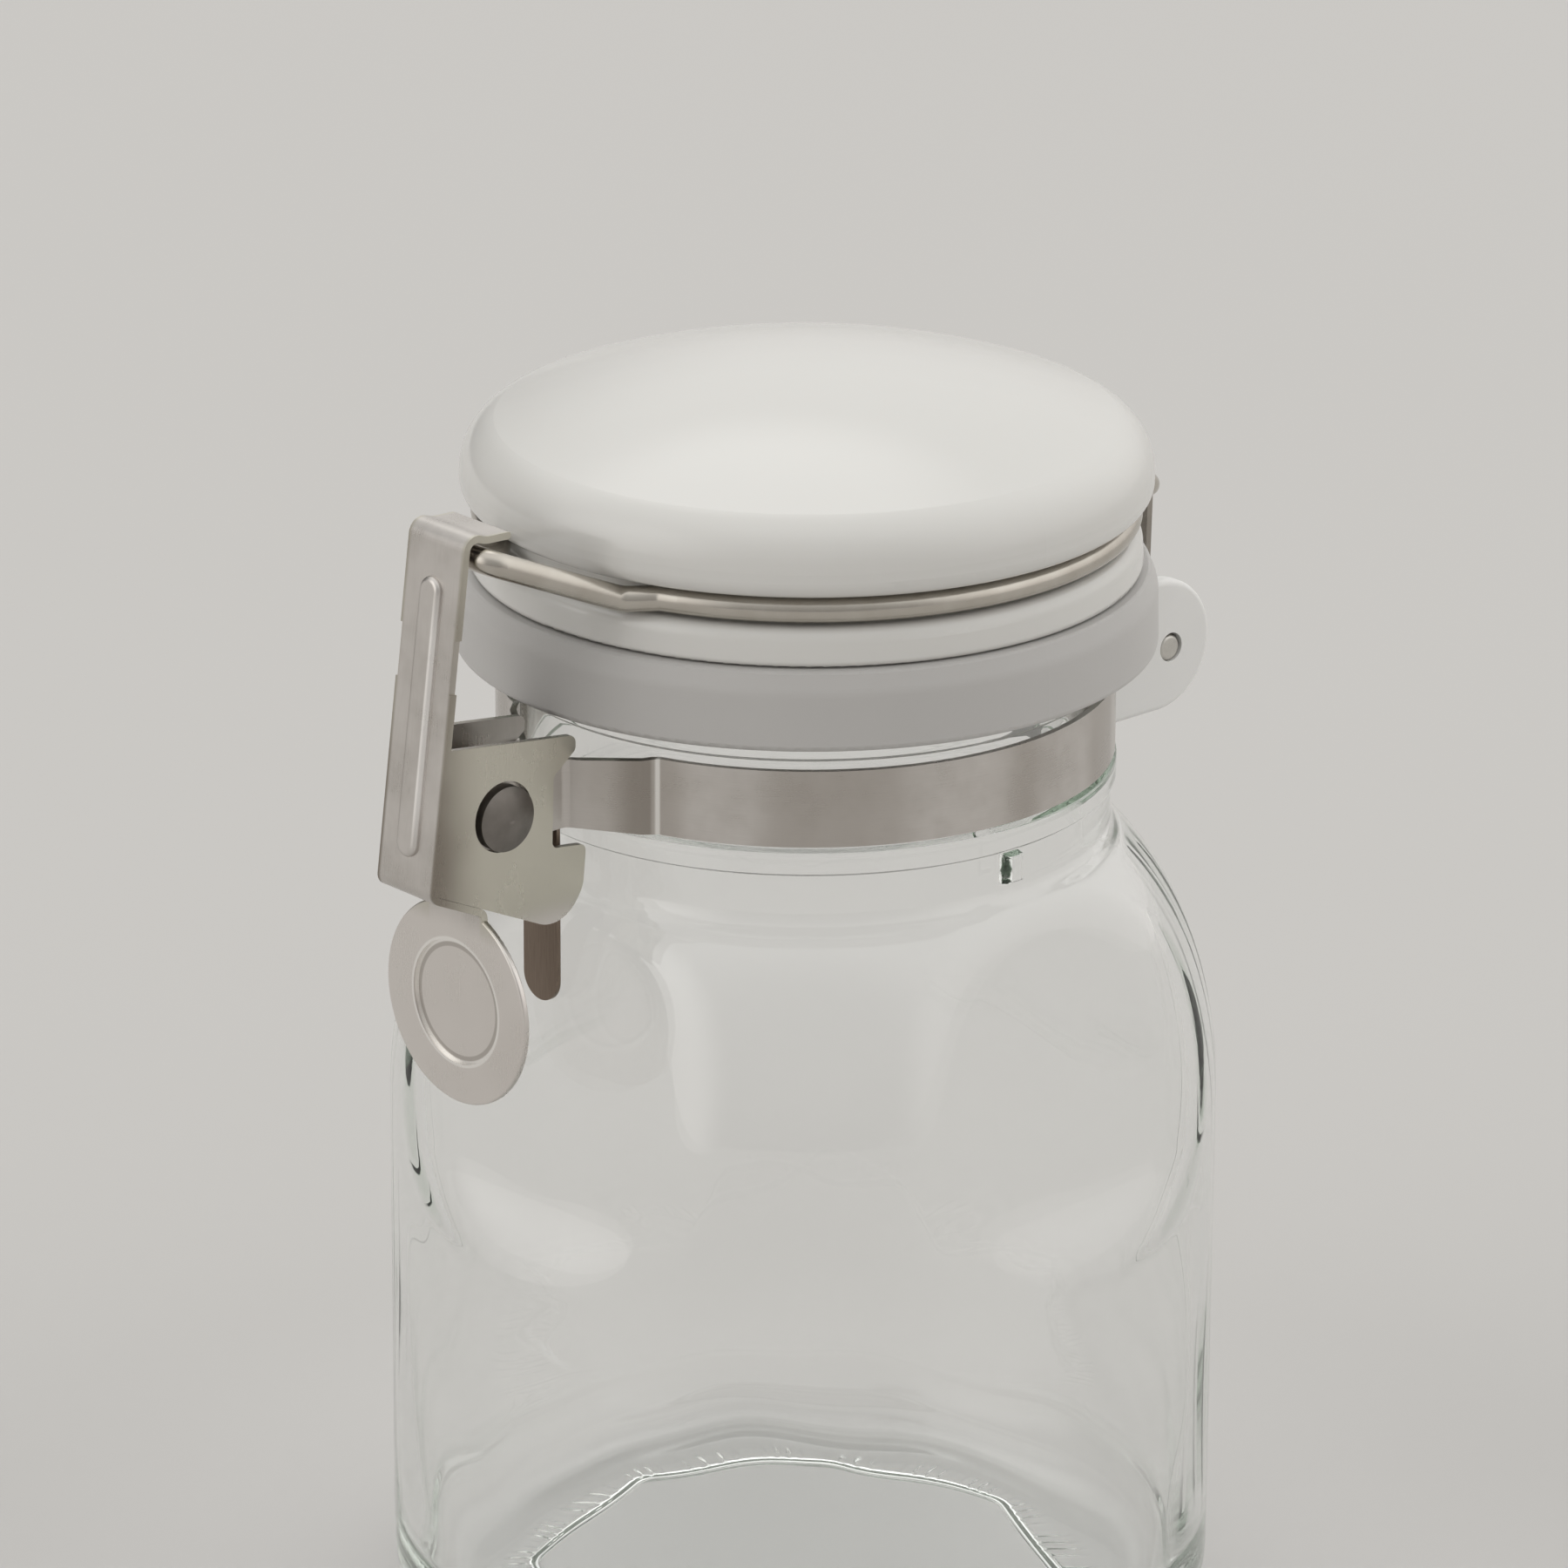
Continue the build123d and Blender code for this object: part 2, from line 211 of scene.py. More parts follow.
    def bump(self, source, strength, depth, below=None):
        made = self.node("ShaderNodeBump")
        made.inputs["Strength"].default_value = strength
        made.inputs["Distance"].default_value = depth
        self.link(source, made.inputs["Height"])
        if below is not None:
            self.link(below, made.inputs["Normal"])
        self.link(made.outputs["Normal"], self.shader.inputs["Normal"])
        return made.outputs["Normal"]


# ---------------------------------------------------------------- steel

def satin_steel(name, grain_place, light=(0.67, 0.64, 0.612), dark=(0.50, 0.47, 0.44)):
    """Satin stainless sheet: a fine grain along one direction and soft cloudy handling marks."""
    surface = Surface(name, Metallic=1.0)
    grain = surface.noise(1.0, 4.0, 0.6, grain_place(surface))
    cloud = surface.window(surface.noise(120.0, 3.0, 0.6), 0.3, 0.7)
    mixed = surface.math("ADD", surface.math("MULTIPLY", grain, 0.5), surface.math("MULTIPLY", cloud, 0.5))
    surface.tint(mixed, dark, light)
    surface.rough(mixed, 0.22, 0.38)
    first = surface.bump(grain, 0.12, 0.00012)
    surface.bump(surface.noise(5200.0, 1.0, 0.5), 0.10, 0.00002, first)
    return surface


FLANGE_INSIDE = 5.0            # the side flanges stand further than this from the lever's middle
# The flanges' painted reflection runs from dark at this depth to pale at the next
FLANGE_DARK_Y = -68.5
FLANGE_PALE_Y = -58.0
FLANGE_DRIFT = 4.0             # how far smoke moves the flanges' painted reflection to and fro
DISC_TOP = 114.0               # the finger disc ends below this height
DISC_CENTRE = (0, -59.8, 102.8)
DISH_RADIUS = 8.3
RIB_MIDDLE = 142.5
RIB_HALF_LENGTH = 18.8
# across the lever, where the rib's painted highlight and painted shade lines run
RIB_PAINTED_HIGHLIGHT_X = 1.6
RIB_PAINTED_SHADE_X = -1.9


def dish_painted_light(surface, plate):
    """A painted highlight round the dish's edge, and a painted shade line just inside it."""
    from_centre = surface.distance(DISC_CENTRE)
    # painted highlight: a pale line round the dish's edge
    painted_highlight = surface.line(from_centre, DISH_RADIUS, 0.5)
    # painted shade: a dark line just inside the dish's edge
    dark = surface.line(from_centre, DISH_RADIUS - 0.7, 0.4)
    plate = surface.stain(dark, 0.5, plate, (0.30, 0.27, 0.24))
    return surface.stain(painted_highlight, 0.8, plate, (0.92, 0.90, 0.87))


def rib_painted_light(surface, plate):
    """A painted highlight along one side of the rib and painted shade along the other."""
    across = surface.coordinate("X")
    along = surface.line(surface.coordinate("Z"), RIB_MIDDLE, RIB_HALF_LENGTH)
    # painted highlight on one side of the rib, painted shade on the other
    painted_highlight = surface.math("MULTIPLY", along, surface.line(across, RIB_PAINTED_HIGHLIGHT_X, 0.5))
    dark = surface.math("MULTIPLY", along, surface.line(across, RIB_PAINTED_SHADE_X, 0.6))
    plate = surface.stain(dark, 0.5, plate, (0.25, 0.22, 0.19))
    return surface.stain(painted_highlight, 0.75, plate, (0.93, 0.91, 0.89))


def lever_steel():
    """The lever's sheet: side flanges with a painted reflection, dark away from the jar and olive towards
    it, a paler finger disc, and painted highlights and shade on the dish and rib.
    """
    surface = satin_steel("satin_steel_lever", lambda s: s.stretch((9000, 1500, 160)))
    sheet = surface.colour
    aside = surface.math("ABSOLUTE", surface.coordinate("X"))
    flanges = surface.window(aside, (FLANGE_INSIDE - 0.3) * MM, (FLANGE_INSIDE + 0.3) * MM)
    above = surface.window(surface.coordinate("Z"), (DISC_TOP - 2) * MM, (DISC_TOP + 2) * MM)
    smoke = surface.noise(60.0, 2.0, 0.5)
    drift = surface.scaled(smoke, -FLANGE_DRIFT * MM, FLANGE_DRIFT * MM)
    drifted = surface.math("ADD", surface.coordinate("Y"), drift)
    # painted reflection on the side flanges: dark away from the jar, paler and olive towards it
    inwards = surface.window(drifted, FLANGE_DARK_Y * MM, FLANGE_PALE_Y * MM)
    flange_painted_reflection = surface.tint(inwards, (0.27, 0.24, 0.205), (0.60, 0.575, 0.50))
    disc = surface.tint(smoke, (0.66, 0.62, 0.585), (0.78, 0.745, 0.715))
    plate = surface.tint(above, disc, sheet)
    plate = rib_painted_light(surface, dish_painted_light(surface, plate))
    # the side flanges above the disc take the painted reflection
    surface.tint(surface.math("MULTIPLY", flanges, above), plate, flange_painted_reflection)
    return surface.material


# Angles from the clasp, in radians, where the painted shade on the band's bend and the painted highlight on
# its crease come and go
BEND_RISE = (0.20, 0.30)
BEND_FALL = (0.335, 0.345)
CREASE_RISE = (0.346, 0.354)
CREASE_FALL = (0.360, 0.368)


def band_steel():
    """The band's sheet, with upright bars of lighter and darker tone painted as reflections round the neck.
    Painted shade darkens the bend where the ear leaves the neck, and a painted highlight runs along its
    crease."""
    surface = satin_steel("satin_steel_band", lambda s: s.around(9.0, 7000.0))
    # painted reflection: upright bars of lighter and darker tone
    painted_reflection_bars = surface.window(surface.noise(1.0, 1.0, 0.5, surface.around(4.0, 12.0)), 0.34, 0.66)
    toned = surface.stain(painted_reflection_bars, 0.5, surface.colour, (0.36, 0.325, 0.29))
    aside = surface.math("ABSOLUTE", surface.coordinate("X"))
    from_clasp = surface.math("ARCTAN2", aside, surface.math("MULTIPLY", surface.coordinate("Y"), -1.0))
    # painted shade along the bend and a painted highlight along the crease
    bend_painted_shade = surface.between(from_clasp, BEND_RISE, BEND_FALL)
    crease_painted_highlight = surface.between(from_clasp, CREASE_RISE, CREASE_FALL)
    toned = surface.stain(bend_painted_shade, 0.7, toned, (0.27, 0.24, 0.21))
    surface.tint(crease_painted_highlight, toned, (0.84, 0.82, 0.79))
    return surface.material


def strap_steel():
    """The hinge strap's sheet is the darkest of the satin steel pieces."""
    strap = satin_steel("satin_steel_strap", lambda s: s.stretch((7000, 900, 160)),
                        light=(0.44, 0.41, 0.37), dark=(0.29, 0.265, 0.235))
    return strap.material


def wire_steel():
    """Drawn stainless wire, with fine scratches along it and soft blotches of tone."""
    surface = Surface("drawn_wire", Metallic=1.0)
    lines = surface.noise(1.0, 3.0, 0.6, surface.around(22.0, 5200.0))
    blotch = surface.noise(240.0, 2.0, 0.5)
    surface.tint(blotch, (0.43, 0.395, 0.345), (0.58, 0.55, 0.50))
    surface.rough(lines, 0.15, 0.31)
    surface.bump(lines, 0.12, 0.00006)
    return surface.material


def rivet_steel():
    """The rivet's dark pewter finish, finely speckled."""
    surface = Surface("dark_rivet", Metallic=1.0)
    speckle = surface.noise(1900.0, 3.0, 0.6)
    blotch = surface.noise(420.0, 2.0, 0.5)
    surface.tint(blotch, (0.17, 0.155, 0.14), (0.27, 0.25, 0.23))
    surface.rough(speckle, 0.30, 0.50)
    surface.bump(speckle, 0.16, 0.00008)
    return surface.material


def spring_steel():
    """The leaf spring's brown finish, streaked along the leaf."""
    surface = Surface("dark_spring", Metallic=1.0)
    streak = surface.noise(1.0, 3.0, 0.6, surface.stretch((5200, 5200, 260)))
    surface.tint(streak, (0.17, 0.125, 0.095), (0.30, 0.245, 0.20))
    surface.rough(streak, 0.22, 0.42)
    surface.bump(streak, 0.12, 0.00008)
    return surface.material


def pin_steel():
    """Turned steel for the hinge pin and the rivet's bush, finely speckled."""
    surface = Surface("pin_steel", Metallic=1.0)
    speckle = surface.noise(1500.0, 3.0, 0.6)
    surface.tint(speckle, (0.50, 0.485, 0.45), (0.66, 0.64, 0.60))
    surface.rough(speckle, 0.28, 0.46)
    surface.bump(speckle, 0.14, 0.00008)
    return surface.material


# ---------------------------------------------------------------- plastic, silicone, glass and paper

def white_gloss():
    """Glossy warm white plastic, with the slightest waviness of a moulded shell."""
    surface = Surface("white_gloss", IOR=1.5, Coat_Weight=0.25, Coat_Roughness=0.05,
                      Subsurface_Weight=0.12, Subsurface_Radius=(0.002, 0.0018, 0.0016))
    cloud = surface.noise(26.0, 2.0, 0.5)
    surface.tint(cloud, (0.665, 0.655, 0.63), (0.69, 0.68, 0.655))
    fine = surface.noise(900.0, 2.0, 0.5)
    surface.rough(fine, 0.13, 0.19)
    wave = surface.bump(cloud, 0.10, 0.0008)
    surface.bump(fine, 0.03, 0.00003, wave)
    return surface.material


def white_satin():
    """The hinge block's and inner plate's satin moulding, a little translucent."""
    surface = Surface("white_satin", IOR=1.5, Subsurface_Weight=0.3,
                      Subsurface_Radius=(0.003, 0.003, 0.0028))
    fine = surface.noise(1400.0, 3.0, 0.55)
    surface.tint(surface.noise(60.0, 2.0), (0.80, 0.795, 0.78), (0.84, 0.835, 0.82))
    surface.rough(fine, 0.30, 0.42)
    surface.bump(fine, 0.08, 0.00005)
    return surface.material


def pale_silicone():
    """Soft matte silicone with a fine grain and soft clouds of tone."""
    surface = Surface("pale_silicone", IOR=1.43, Subsurface_Weight=0.35,
                      Subsurface_Radius=(0.003, 0.003, 0.003))
    fine = surface.noise(2600.0, 3.0, 0.6)
    cloud = surface.noise(45.0, 3.0, 0.5)
    surface.tint(cloud, (0.49, 0.478, 0.465), (0.53, 0.518, 0.505))
    surface.rough(fine, 0.42, 0.56)
    surface.bump(fine, 0.10, 0.00006)
    return surface.material


def clear_glass():
    """Pressed soda-lime glass: polished, barely wavy, green where the light goes a long way through."""
    surface = Surface("clear_glass", Base_Color=(1, 1, 1, 1), Transmission_Weight=1.0, IOR=1.51,
                      Roughness=0.0)
    wave = surface.noise(55.0, 2.0, 0.5, surface.stretch((1.0, 1.0, 0.5)))
    surface.bump(wave, 0.015, 0.0006)
    absorption = surface.node("ShaderNodeVolumeAbsorption")
    absorption.inputs["Color"].default_value = (0.42, 0.56, 0.43, 1)
    absorption.inputs["Density"].default_value = 7.0
    surface.link(absorption.outputs["Volume"], surface.output.inputs["Volume"])
    return surface.material


# Distances from the axis where the floor's painted pool of light starts and where it is full
PAINTED_LIGHT_UNDER = (56.0, 45.0)
PAINTED_LIGHT_BESIDE = (130.0, 55.0)


def paper_floor():
    """Plain pale paper with a painted pool of light under and beside the jar: paler paper and a faint glow,
    standing in for the light real glass gathers there.
    """
    surface = Surface("floor", Roughness=0.75)
    paper = surface.tint(surface.noise(3.0, 3.0), (0.562, 0.549, 0.534), (0.572, 0.559, 0.543))
    from_axis = surface.distance((0, 0, 0))
    # painted pool of light: paler paper and a faint glow under and beside the jar
    under = surface.window(from_axis, PAINTED_LIGHT_UNDER[0] * MM, PAINTED_LIGHT_UNDER[1] * MM)
    beside = surface.window(from_axis, PAINTED_LIGHT_BESIDE[0] * MM, PAINTED_LIGHT_BESIDE[1] * MM)
    surface.tint(under, paper, (0.88, 0.865, 0.84))
    painted_glow = surface.math("ADD", surface.math("MULTIPLY", under, 0.09), surface.math("MULTIPLY", beside, 0.07))
    surface.shader.inputs["Emission Color"].default_value = (1.0, 0.985, 0.96, 1)
    surface.link(painted_glow, surface.shader.inputs["Emission Strength"])
    surface.bump(surface.noise(900.0, 2.0), 0.02, 0.0002)
    return surface.material


# ---------------------------------------------------------------- outlines and turned meshes

ARC_STEP = 9.0                 # degrees


def smooth_min(a, b, width):
    """The lower of two values, with the corner where they cross rounded over a width."""
    near = np.maximum(width - np.abs(a - b), 0) / width
    return np.minimum(a, b) - near * near * width / 4


def smooth_step(value, start, end):
    share = np.clip((value - start) / (end - start), 0, 1)
    return share * share * (3 - 2 * share)


def smooth_band(value, rise, fall):
    """1 between a soft rise and a soft fall, each given as where it starts and ends."""
    return smooth_step(value, *rise) * (1 - smooth_step(value, *fall))


def angle_from(angle, centre):
    """The signed angle from a centre, between minus half a turn and half a turn."""
    return np.mod(angle - centre + pi, 2 * pi) - pi


def rounded(points, radii):
    """An open outline of (radius, height) whose inner corners are rounded."""
    points = [Vector(p) for p in points]
    path = [points[0]]
    for before, corner, after, radius in zip(points, points[1:], points[2:], radii):
        back = (before - corner).normalized()
        ahead = (after - corner).normalized()
        half_angle = acos(max(-1, min(1, back.dot(ahead)))) / 2
        centre = corner + (back + ahead).normalized() * (radius / sin(half_angle))
        start = corner + back * (radius / tan(half_angle)) - centre
        sweep = start.angle_signed(corner + ahead * (radius / tan(half_angle)) - centre)
        steps = max(3, ceil(abs(degrees(sweep)) / ARC_STEP))
        for step in range(steps + 1):
            path.append(centre + Matrix.Rotation(-sweep * step / steps, 2) @ start)
    path.append(points[-1])
    return path


def divided(path, longest):
    """The same outline, with its straight runs cut into short ones."""
    cut = [path[0]]
    for start, end in zip(path, path[1:]):
        count = max(1, ceil((end - start).length / longest))
        cut += [start.lerp(end, step / count) for step in range(1, count + 1)]
    return cut


def grid_mesh(name, points, material):
    """A smooth mesh from rows of points that each run once round the axis. Points that fall together,
    such as a row on the axis itself, are merged."""
    rows, around = points.shape[:2]
    index = np.arange(rows * around).reshape(rows, around)
    ahead = np.roll(index, -1, axis=1)
    quads = np.stack([index[:-1], ahead[:-1], ahead[1:], index[1:]], axis=-1).reshape(-1, 4)
    mesh = bpy.data.meshes.new(name)
    mesh.from_pydata((points.reshape(-1, 3) * MM).tolist(), [], quads.tolist())
    mesh.shade_smooth()
    mesh.materials.append(material)
    piece = bpy.data.objects.new(name, mesh)
    scene.collection.objects.link(piece)
    work = bmesh.new()
    work.from_mesh(mesh)
    bmesh.ops.remove_doubles(work, verts=work.verts, dist=1e-7)
    bmesh.ops.recalc_face_normals(work, faces=work.faces)
    work.to_mesh(mesh)
    work.free()
    return piece


# ---------------------------------------------------------------- the glass jar

JAR_RADIUS = 54.7
JAR_WALL = 3.2
JAR_FLOOR = 6.5
FLOOR_RADIUS = 42.5            # the flat part of the inner floor
FLOOR_DOME = 0.5
HEEL_RADIUS = 11.0
INNER_HEEL_RADIUS = 9.0

SHOULDER_START = 75.0
SHOULDER_CENTRE = 29.8         # radius of the shoulder ellipse's centre
SHOULDER_REACH = 24.9
SHOULDER_RISE = 42.0
SHOULDER_THINNING = 0.9        # how much of an inset the shoulder's rise loses
SHOULDER_RUN_OUT = 2.4         # the arc stops this far outside the neck, and the neck's curve takes over
SHOULDER_RUN_IN = 2.6          # the same on the inside
SHOULDER_STEPS = 44
FLAT_TURN = radians(4.0)
FLAT_TOP = (41.0, 117.0)
FLAT_FOOT = (51.4, 69.0)
FLAT_RUN_OUT = (58.0, 61.5)
FLAT_HEIGHTS = (30, 121)       # the flats are pressed in between these heights
FLAT_BLEND = 2.2               # width of the rounding along a flat's edge
FOOT_BLEND = 4.0               # width of the rounding between a flat and its run out
FLAT_HEAD = 3.0                # a flat curves away this far below its top
FLAT_CURVE = 0.15

NECK_RADIUS = 40.0
NECK_BEND = 6.0                # radius of the curve between the shoulder and the neck
MOUTH_BEND = 5.0               # the same curve on the inside
BEAD_RADIUS = 40.7
BEAD_BOTTOM = 120.2
BEAD_TOP = 123.8
BEAD_SLOPE = 0.4
GROOVE_RADIUS = 39.6
RIDGE_RADIUS = 40.8
RIDGE_BOTTOM = 135.6
RIDGE_TOP = 138.0
RIDGE_SLOPE = 0.5
RIM_RADIUS = 42.2
RIM_BOTTOM = 139.4
RIM_SLOPE = 0.6
RIM_TOP = 147.0
RIM_ROUND = 1.6
MOUTH_RADIUS = 36.4
MOUTH_DEPTH = 4.0
MOUTH_GAP = 0.2                # between the end of the outside's rows and the start of the inside's

RECESS_DEPTH = 1.8
RECESS_RADIUS = 37.0           # to the octagon's corners
RECESS_MIDDLE = 35.6           # the octagon's mean radius
RECESS_TURN = radians(-4.0)
RECESS_BLEND = 1.6             # width of the rounding of its corners
RECESS_SIDE = (-0.9, 0.7)      # its sloping side, measured from the middle radius
RING_START = 22.0              # the base's rings follow the octagon between these radii
RING_END = 43.5
BASE_EDGE = 44.0
STIPPLE_HEIGHT = 0.3
STIPPLE_RISE = (0.8, 1.6)      # the stipple's ring, measured from the middle radius
STIPPLE_FALL = (3.0, 4.2)
SEAM_ANGLES = (radians(49), radians(229))
SEAM_HEIGHT = 0.10
SEAM_WIDTH = 0.45
SEAM_HEIGHTS = (12, 110)       # the seams run between these heights
LUG_ANGLE = radians(-1.5)
LUG_RADIUS = 41.7
LUG_MIDDLE = 41.0              # radius at which the lug's width is measured
LUG_SIDE = (1.1, 1.45)         # distances from the lug's middle where its side starts and ends
LUG_FOOT = (115.9, 116.3)
LUG_TOP = (120.0, 120.4)

# The inside's unevenness: height of each wave, waves round the jar, height per radian, and turn
SWELL_WAVES = [(0.16, 3, 17, 0.0), (0.10, 7, -11, 1.3), (0.05, 15, 7, 0.0)]
SWELL_RISE = (JAR_FLOOR + 4, 24)
SWELL_FALL = (100, 118)

JAR_SEGMENTS = 768
BODY_STEP = 0.9
NECK_STEP = 0.45
INSIDE_STEP = 1.1


def shoulder(inset, end_radius):
    """The shoulder's elliptic arc from the wall up to a radius near the neck, set in by a thickness."""
    reach = SHOULDER_REACH - inset
    rise = SHOULDER_RISE - inset * SHOULDER_THINNING
    last = acos((end_radius - SHOULDER_CENTRE) / reach)
    arc = []
    for step in range(SHOULDER_STEPS + 1):
        angle = last * step / SHOULDER_STEPS
        arc.append(Vector((SHOULDER_CENTRE + reach * cos(angle), SHOULDER_START + rise * sin(angle))))
    return arc


def neck_corner(arc, radius):
    """The point where the shoulder, carried straight on, would meet the upright neck."""
    slope = (arc[-1].y - arc[-2].y) / (arc[-1].x - arc[-2].x)
    return Vector((radius, arc[-1].y + (radius - arc[-1].x) * slope))


def jar_outside():
    """The outside from the middle of the base to the mouth."""
    foot = rounded([(0, 0), (JAR_RADIUS, 0), (JAR_RADIUS, SHOULDER_START)], [HEEL_RADIUS])
    arc = shoulder(0, NECK_RADIUS + SHOULDER_RUN_OUT)
    points = [arc[-1], neck_corner(arc, NECK_RADIUS),
              (NECK_RADIUS, BEAD_BOTTOM), (BEAD_RADIUS, BEAD_BOTTOM + BEAD_SLOPE),
              (BEAD_RADIUS, BEAD_TOP - BEAD_SLOPE), (GROOVE_RADIUS, BEAD_TOP),
              (GROOVE_RADIUS, RIDGE_BOTTOM), (RIDGE_RADIUS, RIDGE_BOTTOM + RIDGE_SLOPE),
              (RIDGE_RADIUS, RIDGE_TOP - RIDGE_SLOPE), (GROOVE_RADIUS, RIDGE_TOP),
              (GROOVE_RADIUS, RIM_BOTTOM), (RIM_RADIUS, RIM_BOTTOM + RIM_SLOPE),
              (RIM_RADIUS, RIM_TOP), (MOUTH_RADIUS, RIM_TOP), (MOUTH_RADIUS, RIM_TOP - MOUTH_DEPTH)]
    bead_rounds = [0.2, 0.3, 0.3, 0.2]
    ridge_rounds = [0.4, 0.3, 0.3, 0.2]
    rim_rounds = [0.4, 0.5, RIM_ROUND, RIM_ROUND]
    neck = rounded(points, [NECK_BEND] + bead_rounds + ridge_rounds + rim_rounds)
    return divided(foot + arc[1:], BODY_STEP) + divided(neck, NECK_STEP)[1:]


def jar_inside():
    """The inside from the mouth down to the middle of the floor."""
    arc = shoulder(JAR_WALL, MOUTH_RADIUS + SHOULDER_RUN_IN)
    mouth_end = (MOUTH_RADIUS, RIM_TOP - MOUTH_DEPTH - MOUTH_GAP)
    mouth = rounded([mouth_end, neck_corner(arc, MOUTH_RADIUS), arc[-1]], [MOUTH_BEND])
    radius = JAR_RADIUS - JAR_WALL
    wall = rounded([(radius, SHOULDER_START), (radius, JAR_FLOOR), (0, JAR_FLOOR)], [INNER_HEEL_RADIUS])
    return divided(mouth + arc[-2::-1] + wall[1:], INSIDE_STEP)


def flat_distance(height, inset):
    """How far from the axis a shoulder flat lies at a height."""
    slope = (FLAT_FOOT[0] - FLAT_TOP[0]) / (FLAT_TOP[1] - FLAT_FOOT[1])
    run_out = (FLAT_RUN_OUT[0] - FLAT_FOOT[0]) / (FLAT_FOOT[1] - FLAT_RUN_OUT[1])
    flat = FLAT_TOP[0] + slope * (FLAT_TOP[1] - height)
    foot = FLAT_FOOT[0] + run_out * (FLAT_FOOT[1] - height)
    both = -smooth_min(-flat, -foot, FOOT_BLEND)
    above = np.maximum(height - (FLAT_TOP[1] - FLAT_HEAD), 0)
    return both + above * above * FLAT_CURVE - inset


def with_flats(angle, radius, height, inner):
    """Press the four shoulder flats into the outside and the inside."""
    lowest, highest = FLAT_HEIGHTS
    for quarter in range(4):
        facing = np.cos(angle_from(angle, FLAT_TURN + quarter * pi / 2))
        limit = flat_distance(height, np.where(inner, JAR_WALL, 0)) / np.maximum(facing, 0.2)
        cut = smooth_min(radius, limit, FLAT_BLEND)
        radius = np.where((facing > 0.5) & (height > lowest) & (height < highest), cut, radius)
    return radius


def with_swell(angle, radius, height, inner):
    """The inside was shaped by air, so it's never quite even."""
    swell = sum(size * np.sin(count * angle + height / pitch + turn)
                for size, count, pitch, turn in SWELL_WAVES)
    return radius + np.where(inner, swell * smooth_band(height, SWELL_RISE, SWELL_FALL), 0)


def octagon_radius(angle):
    """The radius of the rounded octagon that the base recess follows."""
    flat = RECESS_RADIUS * cos(pi / 8)
    within = np.mod(angle - RECESS_TURN, pi / 4) - pi / 8
    near = flat / np.cos(within)
    beside = flat / np.cos(np.abs(within) - pi / 4)
    return smooth_min(near, beside, RECESS_BLEND)


def with_recess(angle, radius, height, inner):
    """Sink the octagonal recess into the base, with a patchy ring of stipple beside it."""
    under = ~inner & (height < 0.001) & (radius < BASE_EDGE)
    offset = radius - RECESS_MIDDLE
    reach = smooth_band(radius, (RING_START, RECESS_MIDDLE), (RECESS_MIDDLE, RING_END))
    bent = radius + reach * (octagon_radius(angle) - RECESS_MIDDLE)
    marks = np.maximum(np.sin(118 * angle + 0.8 * np.sin(5 * angle)), 0) ** 2
    patchy = 0.5 + 0.5 * np.sin(23 * angle + 1.0)
    stipple = marks * patchy * smooth_band(offset, STIPPLE_RISE, STIPPLE_FALL)
    sunk = RECESS_DEPTH * (1 - smooth_step(offset, *RECESS_SIDE))
    raised = height + np.where(under, sunk + STIPPLE_HEIGHT * stipple, 0)
    return np.where(under, bent, radius), raised


def with_seams(angle, radius, height, inner):
    """Two mould seams up the outside."""
    lowest, highest = SEAM_HEIGHTS
    for seam in SEAM_ANGLES:
        away = angle_from(angle, seam) * radius
        ridge = SEAM_HEIGHT * np.exp(-(away / SEAM_WIDTH) ** 2)
        radius = radius + np.where(~inner & (height > lowest) & (height < highest), ridge, 0)
    return radius


def with_lug(angle, radius, height, inner):
    """The small locating lug on the neck, under the bead."""
    away = np.abs(angle_from(angle, LUG_ANGLE)) * LUG_MIDDLE
    lug = (1 - smooth_step(away, *LUG_SIDE)) * smooth_band(height, LUG_FOOT, LUG_TOP)
    return np.where(~inner, np.maximum(radius, radius * (1 - lug) + LUG_RADIUS * lug), radius)


def jar_grid():
    """The jar's outline turned round the axis, with its flats, unevenness, recess, seams and lug."""
    outside = jar_outside()
    path = np.array([tuple(p) for p in outside + jar_inside()])
    angle = np.linspace(0, 2 * pi, JAR_SEGMENTS, endpoint=False)[None, :]
    radius = path[:, :1] + 0 * angle
    height = path[:, 1:] + 0 * angle
    inner = np.broadcast_to(np.arange(len(path))[:, None] >= len(outside), radius.shape)
    radius = with_flats(angle, radius, height, inner)
    radius = with_swell(angle, radius, height, inner)
    radius, height = with_recess(angle, radius, height, inner)
    floor = inner & (height < JAR_FLOOR + 0.001)
    height = height + np.where(floor, FLOOR_DOME * (1 - (radius / FLOOR_RADIUS) ** 2), 0)
    radius = with_seams(angle, radius, height, inner)
    radius = with_lug(angle, radius, height, inner)
    return np.stack([radius * np.cos(angle), radius * np.sin(angle), height], axis=-1)


jar = grid_mesh("jar_glass", jar_grid(), clear_glass())
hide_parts("glass_jar")
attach(jar, "jar")


# ---------------------------------------------------------------- finishes of the CAD nodes

def dress(node, material):
    piece = nodes[node]
    piece.data.materials.clear()
    piece.data.materials.append(material)


pin_finish = pin_steel()
satin_finish = white_satin()
dress("neck_band", band_steel())
dress("clasp_rivet", rivet_steel())
dress("rivet_bush", pin_finish)
dress("leaf_spring", spring_steel())
dress("latch_lever", lever_steel())
dress("lid_cover", white_gloss())
dress("lid_base", satin_finish)
dress("gasket", pale_silicone())
dress("wire_ring", wire_steel())
dress("hinge_strap", strap_steel())
dress("hinge_block", satin_finish)
dress("hinge_pin", pin_finish)


# ---------------------------------------------------------------- floor and light

FLOOR_HALF = 6.0               # metres
FLOOR_GAP = 0.2


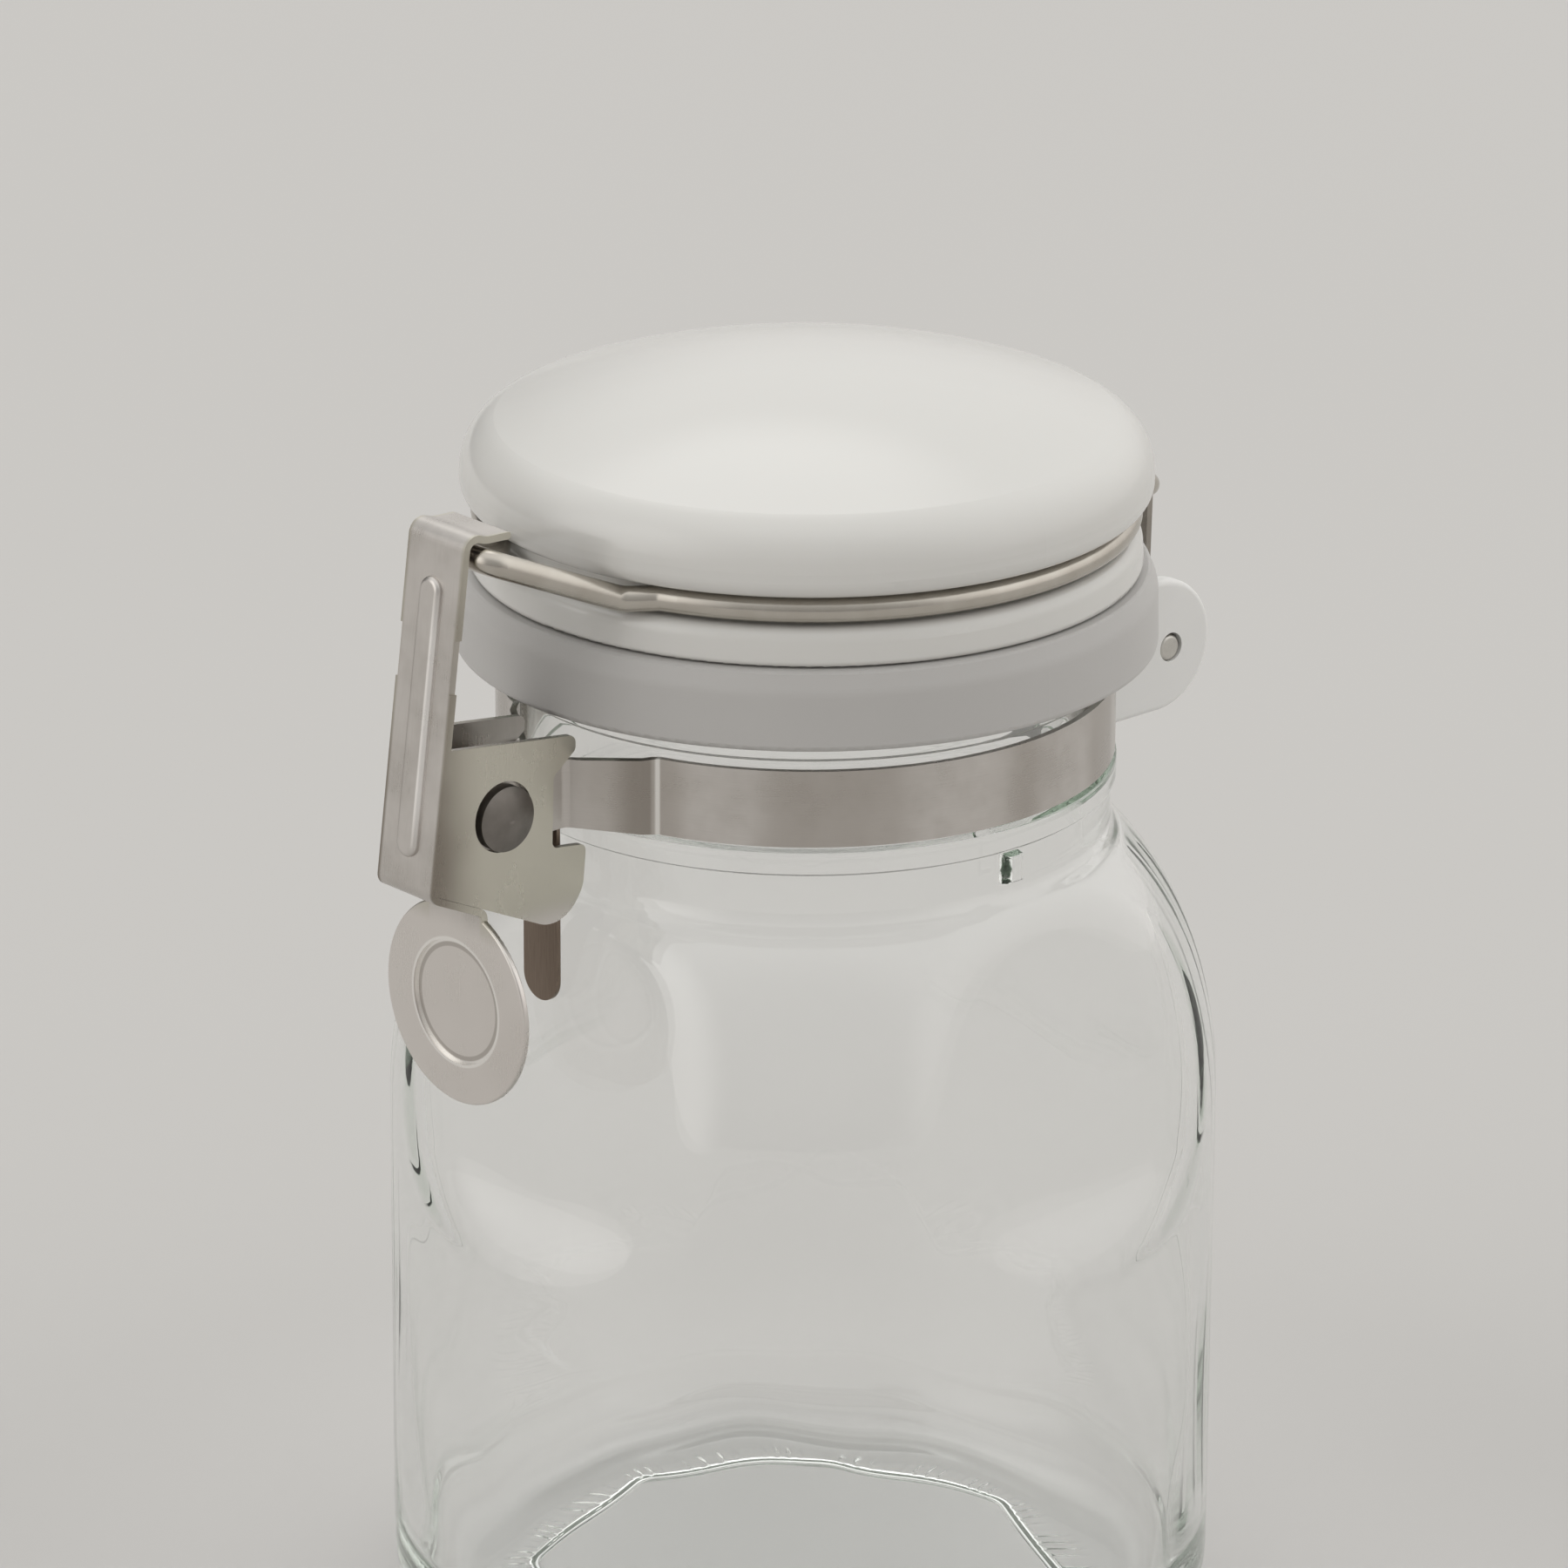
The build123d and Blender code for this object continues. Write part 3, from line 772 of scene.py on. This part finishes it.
def make_floor():
    mesh = bpy.data.meshes.new("floor")
    corners = [(x * FLOOR_HALF, y * FLOOR_HALF, 0) for x, y in ((-1, -1), (1, -1), (1, 1), (-1, 1))]
    mesh.from_pydata(corners, [], [(0, 1, 2, 3)])
    mesh.materials.append(paper_floor())
    floor = bpy.data.objects.new("floor", mesh)
    floor.location.z = cad_box[0].z - FLOOR_GAP * MM
    scene.collection.objects.link(floor)


SKY_STRENGTH = 1.06

# Height on the sky, and its colour there
SKY_STOPS = [(0.0, (0.62, 0.60, 0.58)), (0.35, (0.82, 0.81, 0.79)), (0.9, (1.0, 1.0, 0.985))]

# Soft patches on the sky: towards where, degrees from there at which the patch starts and is full,
# and how many times brighter it is
SOFTBOX = ((-0.47, 0.34, 0.82), 20, 8, 1.8)
WINDOW = ((-0.25, -0.93, 0.25), 40, 14, 1.9)
SHADE = ((-0.97, -0.10, 0.0), 48, 24, 0.2)
CAMERA_SIDE = ((0.74, -0.67, 0.22), 62, 18, 0.55)
BRIGHT_SIDE = ((0.55, 0.83, 0.20), 62, 20, 1.35)


class Sky:
    """The studio round the object, as brightness over directions."""

    def __init__(self):
        world = bpy.data.worlds.new("studio")
        world.use_nodes = True
        scene.world = world
        self.tree = world.node_tree
        self.background = self.tree.nodes["Background"]
        self.towards = self.tree.nodes.new("ShaderNodeTexCoord").outputs["Generated"]

    def gradient(self):
        """Bright overhead, a little dimmer and warmer towards the horizon."""
        parts = self.tree.nodes.new("ShaderNodeSeparateXYZ")
        ramp = self.tree.nodes.new("ShaderNodeValToRGB")
        self.tree.links.new(self.towards, parts.inputs["Vector"])
        self.tree.links.new(parts.outputs["Z"], ramp.inputs["Fac"])
        stops = ramp.color_ramp.elements
        stops.remove(stops[1])
        for place, colour in SKY_STOPS:
            stop = stops[0] if place == 0.0 else stops.new(place)
            stop.position = place
            stop.color = (*colour, 1)
        return ramp.outputs["Color"]

    def patch(self, direction, start, full, gain):
        """A factor that runs softly from 1 to a gain as the view nears a direction."""
        dot = self.tree.nodes.new("ShaderNodeVectorMath")
        dot.operation = "DOT_PRODUCT"
        dot.inputs[1].default_value = Vector(direction).normalized()
        self.tree.links.new(self.towards, dot.inputs[0])
        made = self.tree.nodes.new("ShaderNodeMapRange")
        made.interpolation_type = "SMOOTHSTEP"
        made.inputs["From Min"].default_value = cos(radians(start))
        made.inputs["From Max"].default_value = cos(radians(full))
        made.inputs["To Min"].default_value = 1.0
        made.inputs["To Max"].default_value = gain
        self.tree.links.new(dot.outputs["Value"], made.inputs["Value"])
        return made.outputs["Result"]

    def scaled(self, colour, factor):
        made = self.tree.nodes.new("ShaderNodeVectorMath")
        made.operation = "SCALE"
        self.tree.links.new(colour, made.inputs[0])
        self.tree.links.new(factor, made.inputs["Scale"])
        return made.outputs["Vector"]


def make_world():
    """Soft light from all round: a softbox above, a window, a bright side, and two dimmer ones."""
    sky = Sky()
    colour = sky.gradient()
    for patch in (SOFTBOX, WINDOW, SHADE, CAMERA_SIDE, BRIGHT_SIDE):
        colour = sky.scaled(colour, sky.patch(*patch))
    sky.tree.links.new(colour, sky.background.inputs["Color"])
    sky.background.inputs["Strength"].default_value = SKY_STRENGTH


make_floor()
make_world()

LIGHT_BOUNCES = 64             # so many that light trapped in the glass still gets out
scene.view_settings.view_transform = "Standard"
scene.cycles.max_bounces = LIGHT_BOUNCES
scene.cycles.transmission_bounces = LIGHT_BOUNCES
scene.cycles.glossy_bounces = LIGHT_BOUNCES
